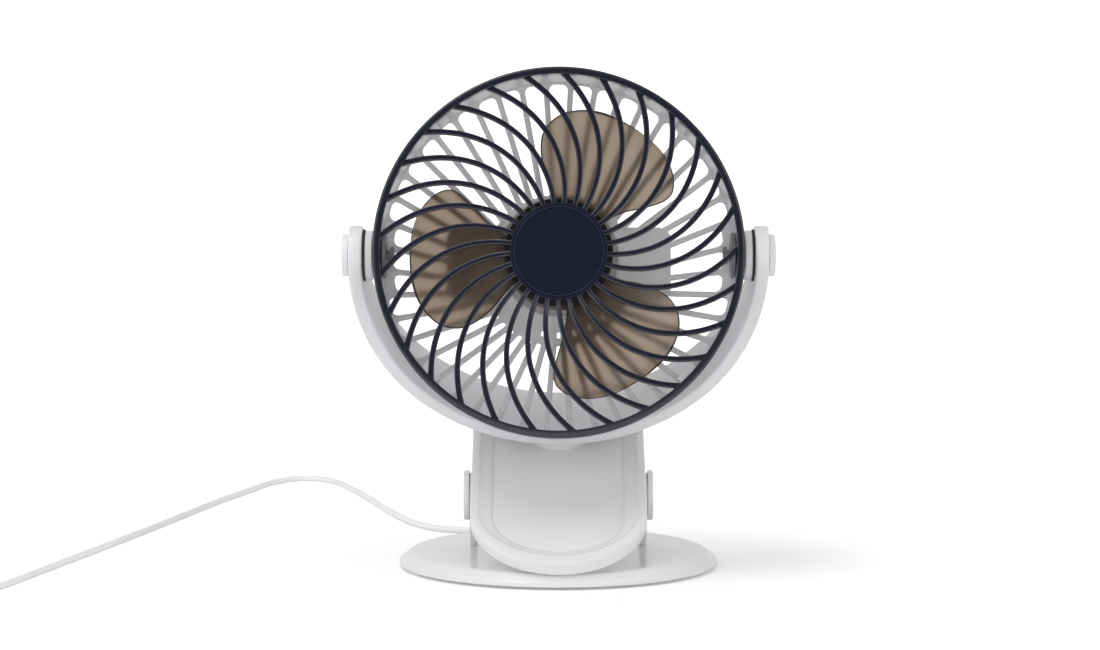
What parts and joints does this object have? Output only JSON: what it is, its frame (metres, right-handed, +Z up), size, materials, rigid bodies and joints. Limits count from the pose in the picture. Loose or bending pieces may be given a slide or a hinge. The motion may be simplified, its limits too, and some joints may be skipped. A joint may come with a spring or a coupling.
{
  "type": "clip fan",
  "caption": "Small round fan that tilts in a U-shaped yoke, on a duck-bill clip whose round lower jaw is also its foot, with a thin lead.",
  "frame": {"origin": "middle of the foot's underside, on the table", "axes": "+Z up, the fan faces -Y, +X to the right of someone who looks at the fan's front from -Y"},
  "size_m": [0.3573, 0.4511, 0.207],
  "materials": {
    "white_plastic": "satin moulded plastic",
    "navy_plastic": "fine matt moulded plastic",
    "smoky_plastic": "see-through smoky brown plastic",
    "black_rubber": "matt rubber",
    "grey_plastic": "matt plastic",
    "steel": "bright steel",
    "cell_wrap": "shrink film on a cell",
    "circuit_green": "solder mask",
    "cord_white": "soft white jacket"
  },
  "bodies": {
    "base": {"base_plate": "white_plastic", "base_cover": "white_plastic", "base_foot": "black_rubber", "base_screw_1": "steel", "base_screw_2": "steel", "base_screw_3": "steel", "lower_jaw_pad": "black_rubber", "hinge_pin": "steel", "hinge_cap_left": "white_plastic", "hinge_cap_right": "white_plastic", "jaw_spring": "steel", "strain_relief": "cord_white", "cord_run": "cord_white", "cord_coil": "cord_white", "coil_tie": "grey_plastic", "cord_tail": "cord_white", "usb_plug_body": "cord_white", "usb_plug_shell": "steel"},
    "jaw": {"upper_jaw": "white_plastic", "upper_jaw_pad": "black_rubber", "swivel_bolt": "steel", "swivel_washer": "steel", "swivel_nut": "steel"},
    "yoke": {"yoke": "white_plastic", "swivel_cover": "white_plastic", "pivot_cap_left": "white_plastic", "pivot_cap_right": "white_plastic", "pivot_bolt_left": "steel", "pivot_bolt_right": "steel"},
    "head": {"rear_housing": "white_plastic", "front_grille": "navy_plastic", "hub_cap": "navy_plastic", "pivot_washer_left": "grey_plastic", "pivot_washer_right": "grey_plastic", "motor_can": "steel", "control_box": "white_plastic", "rear_cover": "white_plastic", "cover_screw_1": "steel", "cover_screw_2": "steel", "cover_screw_3": "steel", "cover_screw_4": "steel", "battery_cell": "cell_wrap", "control_board": "circuit_green"},
    "impeller": {"impeller": "smoky_plastic", "motor_shaft": "steel"},
    "button": {"speed_button": "white_plastic"}
  },
  "joints": [
    {"name": "jaw_hinge", "type": "hinge", "parent": "base", "child": "jaw", "pos_m": [0, 0.003, 0.0288], "axis": [-1, 0, 0], "range_deg": [0, 30], "stiffness_Nm_per_rad": 0.8, "springref_deg": -34.38, "deforming": ["jaw_spring"]},
    {"name": "yoke_swivel", "type": "hinge", "parent": "jaw", "child": "yoke", "pos_m": [0, 0.01746, 0.05539], "axis": [0, -0.4695, 0.8829], "range_deg": [-180, 180]},
    {"name": "head_tilt", "type": "hinge", "parent": "yoke", "child": "head", "pos_m": [0, -0.02245, 0.13044], "axis": [-1, 0, 0], "range_deg": [-125, 50]},
    {"name": "impeller_spin", "type": "hinge", "parent": "head", "child": "impeller", "pos_m": [0, -0.02245, 0.13044], "axis": [0, -0.9877, 0.1564], "continuous": true},
    {"name": "button_press", "type": "slide", "parent": "head", "child": "button", "axis": [0, -0.9877, 0.1564], "range_m": [0, 0.0008], "stiffness_N_per_m": 1500, "springref_m": -0.0004}
  ]
}
